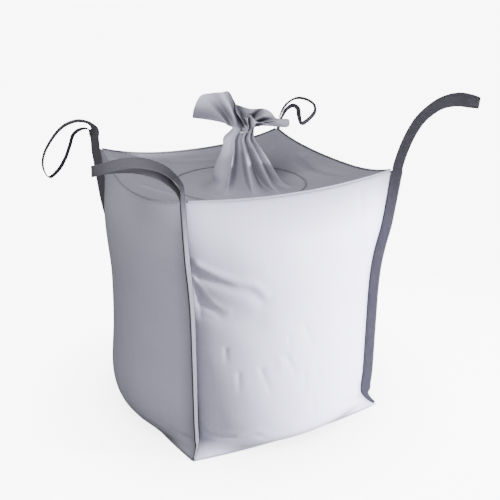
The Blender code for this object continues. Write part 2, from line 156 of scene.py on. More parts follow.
# Creases on the sides: (points as (across, height), half width, how far they stand out)
CREASES = {
    "front": (
        (((-0.98, 0.985), (-0.82, 0.930), (-0.66, 0.893), (-0.53, 0.880), (-0.42, 0.822)), 0.030, 0.008),
        (((-0.98, 0.945), (-0.82, 0.893), (-0.66, 0.858), (-0.53, 0.842), (-0.44, 0.790)), 0.040, -0.009),
        (((-0.98, 0.800), (-0.75, 0.740), (-0.50, 0.700)), 0.095, -0.010),
        (((-0.99, 0.912), (-0.90, 0.815), (-0.83, 0.780), (-0.72, 0.745)), 0.020, 0.004),
        (((-0.99, 0.880), (-0.90, 0.775), (-0.80, 0.725)), 0.026, -0.005),
        (((-0.93, 0.135), (-0.82, 0.119), (-0.67, 0.119), (-0.53, 0.140), (-0.43, 0.118)), 0.018, 0.003),
        (((-0.93, 0.103), (-0.82, 0.090), (-0.67, 0.088), (-0.53, 0.106), (-0.43, 0.090)), 0.018, -0.004),
        (((0.12, 0.700), (0.20, 0.649)), 0.014, -0.0022),
        (((-0.01, 0.634), (0.08, 0.534)), 0.015, -0.003),
        (((-0.18, 0.600), (-0.17, 0.545)), 0.014, -0.0025),
        (((-0.20, 0.494), (-0.13, 0.407)), 0.015, -0.0035),
        (((-0.29, 0.500), (-0.25, 0.430)), 0.016, 0.0025),
        (((-0.46, 0.450), (-0.38, 0.328)), 0.016, -0.003),
        (((-0.02, 0.390), (-0.03, 0.320)), 0.014, -0.003),
        (((0.12, 0.400), (0.19, 0.330)), 0.014, -0.0025),
        (((-0.76, 0.560), (-0.76, 0.500)), 0.015, -0.0025),
        (((-0.66, 0.430), (-0.66, 0.350)), 0.016, -0.0025),
        (((0.06, 0.270), (0.07, 0.180)), 0.015, -0.0025),
        (((0.64, 1.180), (0.63, 1.090)), 0.030, -0.004),
        (((0.60, 1.085), (0.80, 1.040)), 0.022, -0.003),
        (((0.97, 0.060), (0.78, 0.085), (0.47, 0.150)), 0.020, -0.006),
        (((0.97, 0.045), (0.80, 0.045), (0.60, 0.056)), 0.016, 0.004),
        (((0.98, 0.110), (0.84, 0.170), (0.66, 0.250)), 0.022, -0.003),
    ),
    "right": (
        (((-0.98, 0.900), (-0.80, 0.860), (-0.62, 0.870)), 0.022, -0.006),
        (((-0.98, 0.940), (-0.80, 0.900), (-0.62, 0.905)), 0.020, 0.005),
        (((0.98, 0.700), (0.84, 0.640), (0.70, 0.560)), 0.020, -0.005),
        (((0.10, 0.560), (0.14, 0.450)), 0.016, -0.003),
        (((-0.30, 0.420), (-0.26, 0.300)), 0.016, -0.003),
        (((0.40, 0.400), (0.36, 0.300)), 0.016, -0.003),
        (((-0.97, 0.060), (-0.78, 0.090), (-0.50, 0.150)), 0.020, -0.006),
        (((0.97, 0.060), (0.78, 0.090), (0.50, 0.140)), 0.020, -0.006),
    ),
    "back": (
        (((-0.98, 0.820), (-0.80, 0.790), (-0.60, 0.740)), 0.022, -0.006),
        (((0.98, 0.960), (0.82, 0.930), (0.62, 0.905), (0.48, 0.850)), 0.022, -0.006),
        (((0.98, 0.995), (0.82, 0.965), (0.62, 0.940)), 0.020, 0.005),
        (((-0.16, 0.600), (-0.10, 0.480)), 0.016, -0.003),
        (((0.24, 0.480), (0.22, 0.360)), 0.016, -0.003),
        (((-0.44, 0.380), (-0.40, 0.280)), 0.016, -0.003),
        (((-0.97, 0.060), (-0.78, 0.090), (-0.50, 0.140)), 0.020, -0.006),
        (((0.97, 0.060), (0.78, 0.090), (0.50, 0.150)), 0.020, -0.006),
    ),
    "left": (
        (((0.96, 0.930), (0.82, 0.965), (0.72, 0.950)), 0.018, -0.002),
        (((0.60, 0.640), (0.40, 0.560), (0.30, 0.500)), 0.040, -0.002),
        (((-0.97, 0.060), (-0.78, 0.090), (-0.50, 0.150)), 0.020, -0.004),
        (((0.97, 0.050), (0.80, 0.080), (0.60, 0.110)), 0.020, -0.003),
        (((-0.98, 0.860), (-0.84, 0.820), (-0.68, 0.800)), 0.020, -0.004),
    ),
}
# Folds on the top: (points as (x, y), half width, how far they stand up)
TOP_FOLDS = (
    (((-0.46, 0.10), (-0.36, -0.06), (-0.30, -0.20)), 0.030, 0.007),
    (((-0.40, 0.30), (-0.30, 0.20), (-0.22, 0.12)), 0.035, -0.010),
    (((0.46, 0.46), (0.36, 0.34), (0.28, 0.26)), 0.030, 0.008),
    (((0.50, 0.20), (0.46, 0.00), (0.48, -0.24)), 0.034, -0.012),
    (((0.42, 0.16), (0.40, -0.02), (0.42, -0.20)), 0.030, 0.006),
    (((-0.16, 0.48), (0.06, 0.44), (0.24, 0.46)), 0.034, -0.010),
    (((-0.44, -0.44), (-0.34, -0.34), (-0.26, -0.28)), 0.030, 0.006),
    (((-0.50, 0.44), (-0.38, 0.38), (-0.20, 0.36)), 0.028, 0.006),
    (((0.44, -0.44), (0.36, -0.34), (0.28, -0.28)), 0.030, 0.006),
)

# The spout. Its ribs, counted from the left as the camera sees it, run through the near side first.
RIBS = 24
SPOUT_TURN = math.radians(-28.59)
SPOUT_COLUMNS = 16
SPOUT_ROWS = 8
# Each rib's direction on the cone, in degrees from the view's right, and how far it stands out
CONE_RIBS = (
    (172, 0.2), (188, 0.8), (206, 1.1), (228, 0.9), (244, 0.2), (253, 0.9), (264, -1.4), (284, -1.4),
    (290, 1.1), (302, 0.4), (316, -1.2), (320, 1.1), (330, 0.5), (340, -1.0), (347, 0.9), (358, 0.2),
    (12, -1.0), (28, 0.9), (46, -1.0), (64, 0.9), (84, -1.0), (106, 0.9), (130, -0.9), (152, 0.8),
)
# Levels of the cone: (height, radius to the left, right, near side and far side, height of the ribs)
CONE = (
    (1.149, 0.332, 0.332, 0.332, 0.332, 0.000),
    (1.144, 0.270, 0.305, 0.300, 0.300, 0.003),
    (1.143, 0.185, 0.275, 0.260, 0.255, 0.009),
    (1.150, 0.130, 0.240, 0.215, 0.205, 0.016),
    (1.172, 0.107, 0.200, 0.170, 0.165, 0.021),
    (1.210, 0.106, 0.170, 0.135, 0.132, 0.023),
    (1.255, 0.098, 0.144, 0.108, 0.106, 0.021),
    (1.305, 0.080, 0.116, 0.080, 0.080, 0.016),
    (1.350, 0.070, 0.090, 0.060, 0.058, 0.012),
    (1.385, 0.068, 0.072, 0.048, 0.046, 0.009),
)
NECK_HEIGHT = 1.428
NECK_OFFSET = 0.022
NECK_RADII = (0.048, 0.038)
# The piping of the round seam, and the cord around the neck, which rises with each wrap
PIPING_RADIUS = 0.0030
PIPING_HEIGHT = SPOUT_HEIGHT + 0.0005
CORD_RADIUS = 0.0016
CORD_WRAPS = 3
CORD_HEIGHT = 1.408
CORD_RISE = 0.0030
CORD_OFFSET = NECK_OFFSET * 0.8
CORD_UNEVENNESS = 0.045
# How deep the neck's pleats are, as a share of its radius, and how far they stand out just above it
NECK_PLEAT = 0.18
NECK_FLUTE = 0.012
# How far each of the ruffle's folds stands away from the camera between the neck and the rim
RUFFLE_FOLDS = (
    0.0, -0.4, -0.7, 0.9, -0.9, -0.6, 1.4, -0.9, 1.0, -0.7, 0.9, -0.8, 0.5, -0.6, 0.0, 0.3,
    -0.4, 0.5, -0.5, 0.5, -0.5, 0.5, -0.4, 0.3,
)
FOLD_DEPTH = 0.026
# The open rim: (to the view's right, away from the camera, height) of each rib
RIM = (
    (-0.223, 0.000, 1.476), (-0.214, -0.030, 1.530), (-0.183, -0.020, 1.588), (-0.130, -0.045, 1.603),
    (-0.080, -0.055, 1.612), (-0.046, -0.030, 1.610), (-0.022, -0.015, 1.560), (-0.010, -0.060, 1.520),
    (0.012, -0.035, 1.488), (0.040, -0.025, 1.484), (0.056, -0.065, 1.500), (0.085, -0.050, 1.472),
    (0.125, -0.045, 1.458), (0.180, -0.030, 1.442), (0.240, -0.010, 1.434), (0.249, 0.010, 1.460),
    (0.235, 0.030, 1.466), (0.186, 0.020, 1.470), (0.160, 0.040, 1.496), (0.122, 0.060, 1.510),
    (0.056, 0.055, 1.512), (-0.005, 0.050, 1.530), (-0.100, 0.050, 1.555), (-0.190, 0.035, 1.535),
)

# Straps: how much thinner they get at their edges and along their middle, as shares
STRAP_POINTS = 13
STRAP_SPACING = 0.006
EDGE_ROUNDING = 0.30
MIDDLE_DIP = 0.16
MIDDLE_WIDTH = 0.16
THREAD = 0.0011
# Stitches up the straps: (from, to, pitch)
STITCHES = (0.10, 1.25, 0.012)
STITCH_LENGTH = 0.0085
STITCH_ROWS = (0.006, 0.042)
STITCH_SINK = 0.0002
# Along a top edge, in shares of half of it
HEM_STITCHES = (-0.96, 0.955, 0.024)
HEM_STITCH_LENGTH = 0.016
HEM_STITCH_DROP = 0.010
# Round the spout's seam: how far out and up, then angles in radians
SPOUT_STITCH_GAP = 0.0105
SPOUT_STITCH_RISE = 0.0006
SPOUT_STITCH_PITCH = 0.036
SPOUT_STITCH_LENGTH = 0.024

# A wave texture's bands are this far apart at a scale of 1
WAVE_BAND = math.pi / 10
# The shade deep in the cloth's folds: how dark, how near their other side is, how fast it sets in
FOLD_SHADE = 0.15
FOLD_SHADE_REACH = 0.10
FOLD_SHADE_POWER = 1.8

# Camera
CAMERA_PLACE = (-1.823, -3.461, 2.263)
CAMERA_YAW = math.radians(28.59)
CAMERA_PITCH = math.radians(20.65)
LENS = 58.22
SENSOR = 36.0

# Light: what the setting gives, and how bright it looks to the camera
SKY_LIGHT = 0.10
SKY_GLOW = 9.0
FLOOR_GLOW = 8.6
GLOW_COLOUR = (0.985, 0.985, 1.0, 1)
FLOOR_SIZE = 60
FLOOR_DROP = 0.0005
# The floor's shade close under the bag
FLOOR_SHADE = 0.45
FLOOR_SHADE_REACH = 0.55
FLOOR_SHADE_POWER = 1.5
# The key light's beam ends just over the front's top edge, so the top and the spout stay in soft light
KEY_PLACE = (4.4, -3.9, 1.20)
KEY_SIZE = 0.35
KEY_POWER = 10500
KEY_COLOUR = (0.93, 0.94, 1.0)
KEY_BEAM = math.radians(50)
KEY_TOP = (0.0, -0.55, 1.262)
FILL_PLACE = (-1.7, -1.6, 3.4)
FILL_SIZE = 2.4
FILL_POWER = 80
# A narrow beam from low on the left picks out the ruffle's folds
ACCENT_PLACE = (-3.2, -2.6, 1.0)
ACCENT_AIM = (0.0, 0.0, 1.62)
ACCENT_SIZE = 0.3
ACCENT_POWER = 560
ACCENT_BEAM = math.radians(9.5)


# ---------------------------------------------------------------- shapes


def smooth(profile, x):
    """The smooth curve through (x, value) pairs, read at x."""
    xs, vs = np.array(profile, float).T
    slopes = np.empty(len(vs))
    slopes[1:-1] = (vs[2:] - vs[:-2]) / (xs[2:] - xs[:-2])
    slopes[0] = (vs[1] - vs[0]) / (xs[1] - xs[0])
    slopes[-1] = (vs[-1] - vs[-2]) / (xs[-1] - xs[-2])
    x = np.clip(x, xs[0], xs[-1])
    i = np.clip(np.searchsorted(xs, x) - 1, 0, len(xs) - 2)
    span = xs[i + 1] - xs[i]
    f = (x - xs[i]) / span
    return (
        vs[i] * (1 - f) ** 2 * (1 + 2 * f)
        + vs[i + 1] * f**2 * (3 - 2 * f)
        + span * f * (1 - f) * (slopes[i] * (1 - f) - slopes[i + 1] * f)
    )


def through(points, at, ring=False):
    """A Catmull-Rom curve through rows of numbers, read at positions where row i is at i."""
    points = np.array(points, float)
    count = len(points)
    at = np.asarray(at, float)
    start = np.floor(at).astype(int)
    if not ring:
        start = np.clip(start, 0, count - 2)
    f = (at - start).reshape(-1, *([1] * (points.ndim - 1)))
    near = (start + k for k in (-1, 0, 1, 2))
    a, b, c, d = (points[k % count if ring else np.clip(k, 0, count - 1)] for k in near)
    return 0.5 * (2 * b + (c - a) * f + (2 * a - 5 * b + 4 * c - d) * f**2 + (3 * b - a - 3 * c + d) * f**3)


def unit(vectors):
    """Vectors made one metre long."""
    return vectors / np.maximum(np.linalg.norm(vectors, axis=-1, keepdims=True), 1e-12)


def turned(points, angle):
    """Points turned about the Z axis."""
    c, s = math.cos(angle), math.sin(angle)
    x, y, z = np.moveaxis(points, -1, 0)
    return np.stack([c * x - s * y, s * x + c * y, z], -1)


def top_height(side, across):
    """The height of a side's top edge, which hangs between the corners."""
    return CORNER_HEIGHT - TOP_SAG[side] * (1 - np.abs(across) ** SAG_POWER)


def side_surface(side, across, height, inset=0.0, gap=0.0015):
    """Points of a side's outer surface, with its creases left out."""
    seam = smooth(SEAM, height)
    bulge = smooth(BULGE, height) - seam
    lateral = (seam - gap - inset) * across
    outward = seam + bulge * (1 - np.abs(across) ** BULGE_POWER) - inset
    return turned(np.stack([lateral, -outward, height], -1), math.radians(90 * SIDES[side]))


def from_stroke(points, x, y):
    """How far each (x, y) is from a polyline, and how far along it, from 0 to 1."""
    points = np.array(points, float)
    lengths = np.linalg.norm(np.diff(points, axis=0), axis=1)
    start = np.concatenate([[0], np.cumsum(lengths)])
    best = np.full(x.shape, np.inf)
    along = np.zeros(x.shape)
    for k, (a, b) in enumerate(zip(points[:-1], points[1:])):
        d = b - a
        t = np.clip(((x - a[0]) * d[0] + (y - a[1]) * d[1]) / (d @ d), 0, 1)
        away = np.hypot(x - a[0] - t * d[0], y - a[1] - t * d[1])
        nearer = away < best
        best = np.where(nearer, away, best)
        along = np.where(nearer, (start[k] + t * lengths[k]) / start[-1], along)
    return best, along


def crease_height(creases, x, y, stretch=1.0):
    """The height of creases over a surface: soft ridges and furrows that fade towards their far end.
    Their points are stretched sideways to the metres of x."""
    total = np.zeros(x.shape)
    for points, half_width, rise in creases:
        away, along = from_stroke([(px * stretch, py) for px, py in points], x, y)
        total += rise * np.exp(-((away / half_width) ** 2) * 2) * (1 - CREASE_FADE * along)
    return total


def ripple(x, y, seed, count, size):
    """A few soft, slanting waves: the slight unevenness of cloth over loose filling."""
    random = np.random.default_rng(seed)
    total = np.zeros(np.broadcast(x, y).shape)
    for _ in range(count):
        angle, phase = random.uniform(0, 2 * math.pi, 2)
        pitch = size * random.uniform(0.6, 1.6)
        total += np.sin((x * math.cos(angle) + y * math.sin(angle)) * 2 * math.pi / pitch + phase)
    return total / count


# ---------------------------------------------------------------- meshes


def add_mesh(name, points, faces, look, cloth=None):
    """A mesh, with the place of each point on its flat cloth in metres, for the weave."""
    mesh = bpy.data.meshes.new(name)
    mesh.from_pydata(np.asarray(points, float).reshape(-1, 3).tolist(), [], faces)
    mesh.materials.append(look)
    mesh.shade_smooth()
    if cloth is not None:
        weave = mesh.attributes.new("cloth", "FLOAT_VECTOR", "POINT")
        weave.data.foreach_set("vector", np.asarray(cloth, np.float32).ravel())
    obj = bpy.data.objects.new(name, mesh)
    bpy.context.scene.collection.objects.link(obj)
    return obj


def grid_faces(rows, columns, ring=False, tube=False):
    """Faces of a grid of points. A ring closes each row, and a tube closes the rows on the first."""
    row_steps = range(rows if tube else rows - 1)
    steps = range(columns if ring else columns - 1)
    return [
        (r * columns + i, r * columns + (i + 1) % columns,
         (r + 1) % rows * columns + (i + 1) % columns, (r + 1) % rows * columns + i)
        for r in row_steps
        for i in steps
    ]


def add_grid(name, points, look, cloth, thickness, offset, ring=False):
    """A surface through an array of points (rows, columns, 3), made as thick as its cloth."""
    obj = add_mesh(name, points, grid_faces(*points.shape[:2], ring), look, cloth)
    solidify = obj.modifiers.new("thickness", "SOLIDIFY")
    solidify.thickness = thickness
    solidify.offset = offset
    solidify.use_even_offset = False
    return obj


def cloth_place(points):
    """Each grid point's place on the flat cloth, measured along its row and its column."""
    across = np.linalg.norm(np.diff(points, axis=1, prepend=points[:, :1]), axis=2).cumsum(axis=1)
    along = np.linalg.norm(np.diff(points, axis=0, prepend=points[:1]), axis=2).cumsum(axis=0)
    return np.stack([across, along, np.zeros(across.shape)], -1)


# ---------------------------------------------------------------- materials


class Look:
    """A material, with a short way to add nodes to it."""

    def __init__(self, name, colour, roughness):
        self.material = bpy.data.materials.new(name)
        self.material.use_nodes = True
        self.tree = self.material.node_tree
        self.shader = self.tree.nodes["Principled BSDF"]
        self.shader.inputs["Base Color"].default_value = (*colour, 1)
        self.shader.inputs["Roughness"].default_value = roughness
        self.colour = colour

    def node(self, kind, settings=None, **sockets):
        """A node with its settings, and sockets that are either values or outputs to link."""
        made = self.tree.nodes.new(f"ShaderNode{kind}")
        for key, value in (settings or {}).items():
            setattr(made, key, value)
        for key, value in sockets.items():
            socket = made.inputs[int(key[1:])] if key[0] == "i" and key[1:].isdigit() else made.inputs[key]
            if isinstance(value, bpy.types.NodeSocket):
                self.tree.links.new(value, socket)
            else:
                socket.default_value = value
        return made

    def place(self, scale):
        """Coordinates on the flat cloth, stretched."""
        where = self.node("Attribute", {"attribute_name": "cloth"}).outputs["Vector"]
        return self.node("Mapping", None, Vector=where, Scale=scale).outputs["Vector"]

    def object_place(self, scale):
        """Coordinates in the piece's own space, stretched."""
        where = self.node("TexCoord").outputs["Object"]
        return self.node("Mapping", None, Vector=where, Scale=scale).outputs["Vector"]

    def noise(self, where, detail=2.0, roughness=0.5):
        """Soft noise, from 0 to 1."""
        made = self.node("TexNoise", None, Vector=where, Scale=1.0, Detail=detail, Roughness=roughness)
        return made.outputs["Fac"]

    def wave(self, where, direction):
        """Even bands across a direction, from 0 to 1."""
        settings = {"wave_type": "BANDS", "bands_direction": direction, "wave_profile": "SIN"}
        return self.node("TexWave", settings, Vector=where, Scale=1.0, Distortion=0.0).outputs["Fac"]

    def math(self, operation, a, b=0.0):
        """Two values put together by an operation."""
        return self.node("Math", {"operation": operation}, i0=a, i1=b).outputs[0]

    def open_air(self, reach):
        """1 in the open, and less where something is within reach."""
        return self.node("AmbientOcclusion", {"samples": 8}, Distance=reach).outputs["AO"]

    def spread(self, value, low, high):
        """A 0 to 1 value mapped to a range."""
        return self.node("MapRange", None, Value=value, **{"To Min": low, "To Max": high}).outputs["Result"]

    def shade(self, factors):
        """The base colour, made lighter or darker by the product of factors."""
        product = factors[0]
        for factor in factors[1:]:
            product = self.math("MULTIPLY", product, factor)
        tint = self.node("HueSaturation", None, Color=(*self.colour, 1), Value=product)
        self.tree.links.new(tint.outputs["Color"], self.shader.inputs["Base Color"])

    def bump(self, layers):
        """Bumps over each other: (height, strength, distance in metres), the coarsest first."""
        normal = None
        for height, strength, distance in layers:
            made = self.node("Bump", None, Height=height, Strength=strength, Distance=distance)
            if normal is not None:
                self.tree.links.new(normal, made.inputs["Normal"])
            normal = made.outputs["Normal"]
        self.tree.links.new(normal, self.shader.inputs["Normal"])


def plain_weave(look, pitch):
    """Over-and-under tapes of a plain weave, from 0 to 1."""
    checker = look.node("TexChecker", None, Vector=look.place((0.5 / pitch, 0.5 / pitch, 1)), Scale=2.0)
    fine = look.place((WAVE_BAND / pitch, WAVE_BAND / pitch, 1))
    warp, weft = look.wave(fine, "X"), look.wave(fine, "Y")
    mix = look.node("Mix", {"data_type": "FLOAT"}, Factor=checker.outputs["Fac"], A=warp, B=weft)
    return mix.outputs["Result"]


def woven_fabric(name, colour, weave_pitch=0.0026):
    """Woven polypropylene tape: an even weave, tapes of slightly different tone, soft smudges, and painted
    shade that darkens its folds.
    """
    look = Look(name, colour, 0.62)
    look.shader.inputs["Sheen Weight"].default_value = 0.12
    look.shader.inputs["Sheen Roughness"].default_value = 0.5
    look.shader.inputs["Specular IOR Level"].default_value = 0.28
    weave = plain_weave(look, weave_pitch)
    tapes_up = look.noise(look.place((190, 1.5, 1)), 1.0)
    tapes_across = look.noise(look.place((1.5, 190, 1)), 1.0)
    cloudy = look.noise(look.object_place((2.2, 2.2, 2.2)), 3.0, 0.55)
    worn = look.noise(look.object_place((14, 14, 14)), 4.0, 0.6)
    # Painted shade: the colour darkens where other cloth is near, deep in the folds and pleats
    painted_fold_shade = look.open_air(FOLD_SHADE_REACH)
    look.shade([
        look.spread(look.math("POWER", painted_fold_shade, FOLD_SHADE_POWER), FOLD_SHADE, 1.0),
        look.spread(tapes_up, 0.955, 1.045), look.spread(tapes_across, 0.965, 1.035),
        look.spread(cloudy, 0.955, 1.045), look.spread(worn, 0.97, 1.02), look.spread(weave, 0.97, 1.02),
    ])
    rough = look.spread(worn, 0.56, 0.68)
    look.tree.links.new(rough, look.shader.inputs["Roughness"])
    crinkle = look.noise(look.object_place((26, 26, 26)), 3.0, 0.55)
    look.bump([(crinkle, 0.25, 0.0022), (tapes_up, 0.15, 0.0005), (weave, 0.28, 0.0004)])
    return look.material


def webbing_look(name, colour, rib_pitch=0.0032):
    """Dense webbing: ribs along its length, crossed by fine picks, with a slightly fuzzy tone."""
    look = Look(name, colour, 0.78)
    look.shader.inputs["Specular IOR Level"].default_value = 0.22
    look.shader.inputs["Sheen Weight"].default_value = 0.08
    rib_scale = WAVE_BAND / rib_pitch
    ribs = look.wave(look.place((rib_scale, 1, 1)), "X")
    picks = look.wave(look.place((1, rib_scale * 1.6, 1)), "Y")
    tone = look.noise(look.place((300, 12, 1)), 2.0)
    cloudy = look.noise(look.place((9, 9, 1)), 3.0)
    look.shade([
        look.spread(ribs, 0.88, 1.06), look.spread(picks, 0.93, 1.04), look.spread(tone, 0.86, 1.12),
        look.spread(cloudy, 0.93, 1.07),
    ])
    look.bump([(cloudy, 0.2, 0.001), (ribs, 0.55, 0.0005), (picks, 0.4, 0.0003)])
    return look.material


def thread_look(name, colour):
    """Twisted polyester thread."""
    look = Look(name, colour, 0.55)
    twist = look.noise(look.object_place((900, 900, 900)), 1.0)
    look.shade([look.spread(twist, 0.8, 1.15)])
    look.bump([(twist, 0.4, 0.0003)])
    return look.material


def granule_look(name, colour):
    """Loose plastic granules."""
    look = Look(name, colour, 0.5)
    where = look.object_place((180, 180, 180))
    grains = look.node("TexVoronoi", None, Vector=where, Scale=1.0)
    look.shade([look.spread(look.noise(where, 1.0), 0.85, 1.1)])
    look.bump([(grains.outputs["Distance"], 0.9, 0.002)])
    return look.material


def seen_only(tree, strength):
    """A strength that only the camera sees, so that a white setting doesn't wash out the light."""
    path = tree.nodes.new("ShaderNodeLightPath")
    seen = tree.nodes.new("ShaderNodeMath")
    seen.operation = "MULTIPLY"
    seen.inputs[1].default_value = strength
    tree.links.new(path.outputs["Is Camera Ray"], seen.inputs[0])
    return seen.outputs[0]


def floor_look(name, colour):
    """A matt pale floor, which glows a little to the camera, and whose glow is dimmed close under the bag as
    a painted shadow.
    """
    look = Look(name, colour, 0.75)
    look.shade([look.spread(look.noise(look.object_place((1.5, 1.5, 1.5)), 2.0), 0.99, 1.01)])
    # Painted shadow: the glow is dimmed where the bag is near
    clear = look.math("POWER", look.open_air(FLOOR_SHADE_REACH), FLOOR_SHADE_POWER)
    glow = look.math("MULTIPLY", seen_only(look.tree, FLOOR_GLOW), look.spread(clear, FLOOR_SHADE, 1.0))
    look.shader.inputs["Emission Color"].default_value = GLOW_COLOUR
    look.tree.links.new(glow, look.shader.inputs["Emission Strength"])
    return look.material


# ---------------------------------------------------------------- the bag's cloth


def make_sides():
    """The four side panels, each one cloth from the base to its hanging top edge."""
    across = np.sin(np.linspace(-1, 1, SIDE_COLUMNS + 1) * math.pi / 2) * 0.6
    across += np.linspace(-1, 1, SIDE_COLUMNS + 1) * 0.4
    rise = np.linspace(0, 1, SIDE_ROWS + 1) ** 1.15
    for side in SIDES:
        grid_across = np.broadcast_to(across, (len(rise), len(across)))
        height = SIDE_BOTTOM + (top_height(side, grid_across) - SIDE_BOTTOM) * rise[:, None]
        points = side_surface(side, grid_across, height)
        fade = np.clip((1 - np.abs(grid_across)) / EDGE_FADE, 0, 1) * np.clip(rise[:, None] / END_FADE, 0, 1)
        fade = fade * np.clip((1 - rise[:, None]) / END_FADE, 0, 1)
        seed = 11 + SIDES[side]
        metres = grid_across * HALF_SIDE
        lift = crease_height(CREASES[side], metres, height, HALF_SIDE)
        lift += SIDE_RIPPLE * ripple(metres, height * RIPPLE_STRETCH, seed, 7, 0.16)
        lift += seam_puckers(grid_across, height, seed)
        outwards = turned(np.array([[0.0, -1.0, 0.0]]), math.radians(90 * SIDES[side]))[0]
        points = points + outwards * (lift * fade)[..., None]
        piece = add_grid(f"side_cloth_{side}", points, fabric, cloth_place(points), CLOTH, -1)
        finish_piece(piece, "bag", "bag_fabric", f"side_panel_{side}")


def seam_puckers(across, height, seed):
    """Short gathers where the cloth is sewn in at the corners, mostly low down."""
    random = np.random.default_rng(seed)
    total = np.zeros(across.shape)
    for sign in (-1, 1):
        for _ in range(PUCKERS):
            at = random.uniform(0.05, 1.2)
            slope, reach = random.uniform(-0.5, 0.5), random.uniform(0.05, 0.16)
            width, depth = random.uniform(0.006, 0.012), random.uniform(0.0006, 0.0016)
            inwards = (1 - sign * across) * HALF_SIDE
            line = height - at - slope * inwards
            total -= depth * np.exp(-((line / width) ** 2)) * np.exp(-inwards / reach * 2)
    return total


def make_base():
    """The base panel, which the bag stands on."""
    across = np.linspace(-1, 1, BASE_STEPS, endpoint=False)
    outline = np.concatenate([side_surface(side, across, np.zeros(BASE_STEPS)) for side in SIDES])
    rings = np.linspace(1, 0.02, BASE_RINGS)
    points = np.stack([outline * (f, f, 1) for f in rings])
    piece = add_grid("base_cloth", points, fabric, points, BASE_FABRIC, 1, ring=True)
    finish_piece(piece, "bag", "bag_fabric", "base_panel")


def top_outline(steps, inset):
    """The top edge of all four sides, anticlockwise from the front left corner."""
    rows = []
    for side in SIDES:
        across = np.linspace(-1, 1, steps, endpoint=False)
        rows.append(side_surface(side, across, top_height(side, across), inset, gap=0.0028))
    return np.concatenate(rows)


def make_top():
    """The top panel: it hangs from the four top edges down to the spout's round seam."""
    outer = top_outline(TOP_STEPS, TOP_INSET)
    flat = outer * (1, 1, 0)
    inner = unit(flat) * (SPOUT_RADIUS + FABRIC)
    share = np.linspace(0, 1, TOP_RINGS)[:, None, None]
    points = flat * (1 - share) + inner * share
    height = SPOUT_HEIGHT + (outer[:, 2] - SPOUT_HEIGHT) * (1 - share[..., 0]) ** DISH_POWER
    fade = np.clip(share[..., 0] / 0.1, 0, 1) * np.clip((1 - share[..., 0]) / 0.15, 0, 1)
    x, y = points[..., 0], points[..., 1]
    lift = crease_height(TOP_FOLDS, x, y) + TOP_RIPPLE * ripple(x, y, 5, 6, 0.3)
    points[..., 2] = height + lift * fade
    piece = add_grid("top_cloth", points, fabric, points, CLOTH, -1, ring=True)
    finish_piece(piece, "bag", "bag_fabric", "top_panel")


def make_hems():
    """The sewn allowance that stands up along each top edge."""
    for side in SIDES:
        across = np.linspace(-HEM_REACH, HEM_REACH, 160)
        base = side_surface(side, across, top_height(side, across), 0.0012)
        uneven = ripple(across * 0.5, across * 0.1, 31 + SIDES[side], 5, 0.06)
        rows = []
        inwards = turned(np.array([[0.0, 1.0, 0.0]]), math.radians(90 * SIDES[side]))[0]
        for rise in np.linspace(*HEM_RISE, 5):
            row = base.copy()
            row[:, 2] += rise * (1 + HEM_WAVE * uneven)
            row += inwards * (HEM_LEAN * uneven * max(rise, 0))[:, None]
            rows.append(row)
        points = np.stack(rows)
        piece = add_grid(f"top_seam_{side}", points, shaded_hem_fabric, cloth_place(points), HEM_CLOTH, 0)
        finish_piece(piece, "bag", "bag_fabric")


def make_fill():
    """The granules inside, just clear of the cloth all round."""
    across = np.linspace(-1, 1, FILL_STEPS, endpoint=False)
    rows = []
    for f in np.linspace(0, 1, 30):
        row = []
        for side in SIDES:
            height = FILL_BOTTOM + (top_height(side, across) - FILL_DROP - FILL_BOTTOM) * f
            row.append(side_surface(side, across, height, FILL_INSET))
        rows.append(np.concatenate(row))
    rim = rows[-1]
    for f in np.linspace(0.1, 1, 12):
        ring = rim * (1 - f, 1 - f, 1)
        ring[:, 2] = FILL_MIDDLE + (rim[:, 2] - FILL_MIDDLE) * (1 - f) ** DISH_POWER
        rows.append(ring)
    points = np.stack(rows)
    faces = grid_faces(*points.shape[:2], ring=True)
    faces.append(tuple(reversed(range(points.shape[1]))))
    piece = add_mesh("granule_fill", points, faces, granules)
    finish_piece(piece, "bag", "granules", "contents")


def finish_piece(piece, body, slot, *nodes):
    """Says what a piece rides on and the CAD nodes that it stands for; its finish, slot, is not used."""
    if body:
        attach(piece, body)
    if nodes:
        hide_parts(*nodes)


# ---------------------------------------------------------------- the spout


def cone_point(level):
    """The ribs of one level of the cone."""
    height, left, right, near, far, ribs = level
    row = []
    for degrees, stands in CONE_RIBS:
        angle = math.radians(degrees)
        c, s = math.cos(angle), math.sin(angle)
        wide, deep = (left if c < 0 else right), (near if s < 0 else far)
        radius = 1 / math.hypot(c / wide, s / deep) + ribs * stands
        row.append((radius * c, radius * s, height))
    return row


